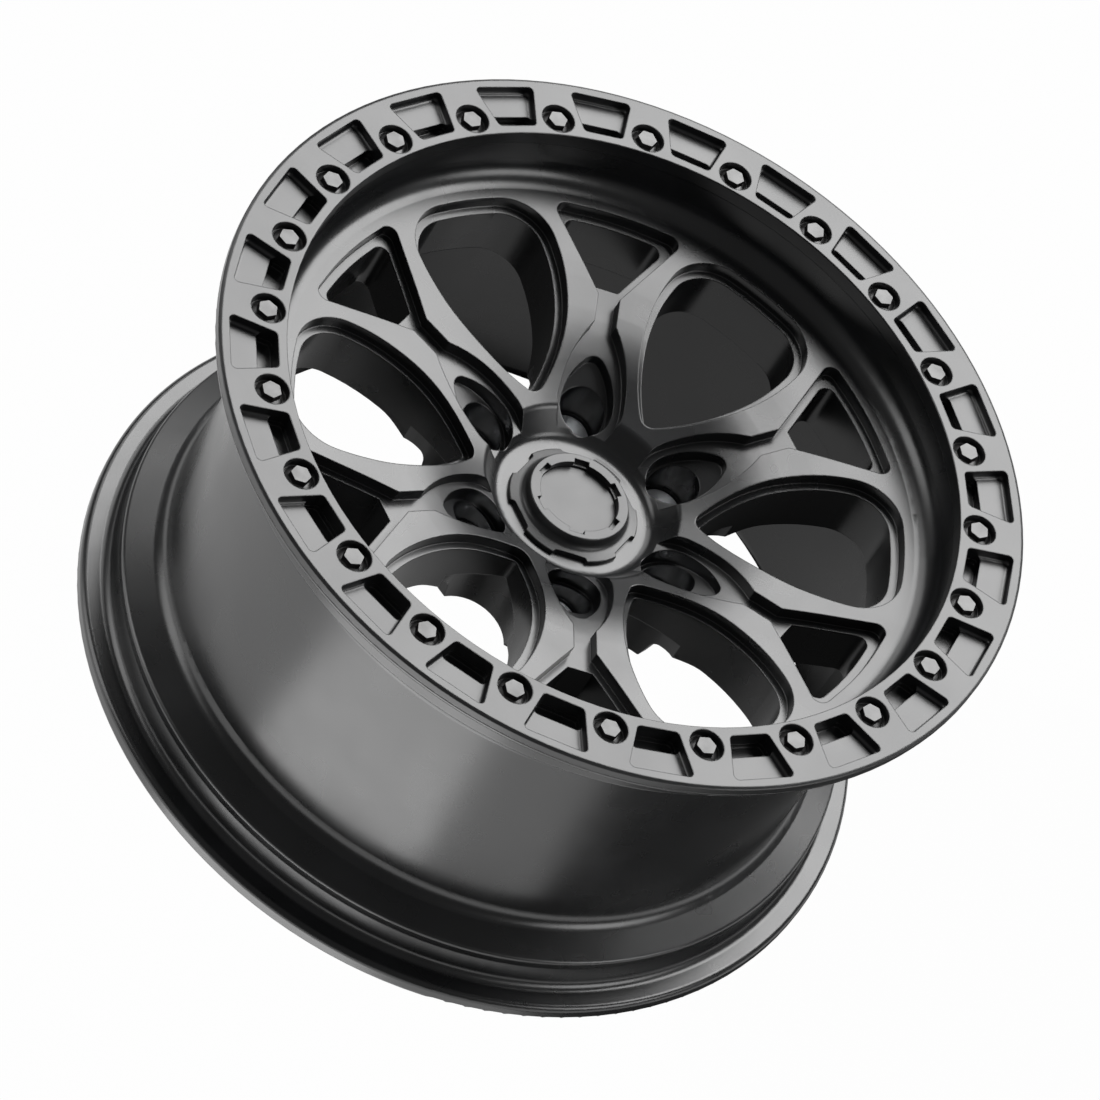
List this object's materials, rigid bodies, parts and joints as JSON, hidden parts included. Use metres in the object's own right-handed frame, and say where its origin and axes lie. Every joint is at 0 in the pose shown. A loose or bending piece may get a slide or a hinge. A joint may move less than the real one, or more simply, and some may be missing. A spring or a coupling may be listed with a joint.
{
  "type": "off-road wheel",
  "caption": "Bare cast off-road wheel with forked spokes, a bolted bead ring with open pockets, a lobed centre cap, conical lug seats and a piloted hub pad.",
  "frame": {"origin": "on the axle, in the plane of the hub pad", "axes": "+Z along the axle out of the street face, +Y along one spoke"},
  "size_m": [0.4988, 0.4988, 0.25],
  "materials": {
    "casting": "satin black coat",
    "ring": "satin black coat",
    "bolts": "black oxide",
    "cap": "satin black",
    "disc": "matte black",
    "spring_wire": "bright wire"
  },
  "bodies": {
    "root": {"wheel_casting": "casting", "bead_ring": "ring", "ring_bolts": "bolts", "cap_body": "cap", "cap_disc": "disc", "cap_retainer": "spring_wire"}
  },
  "joints": []
}
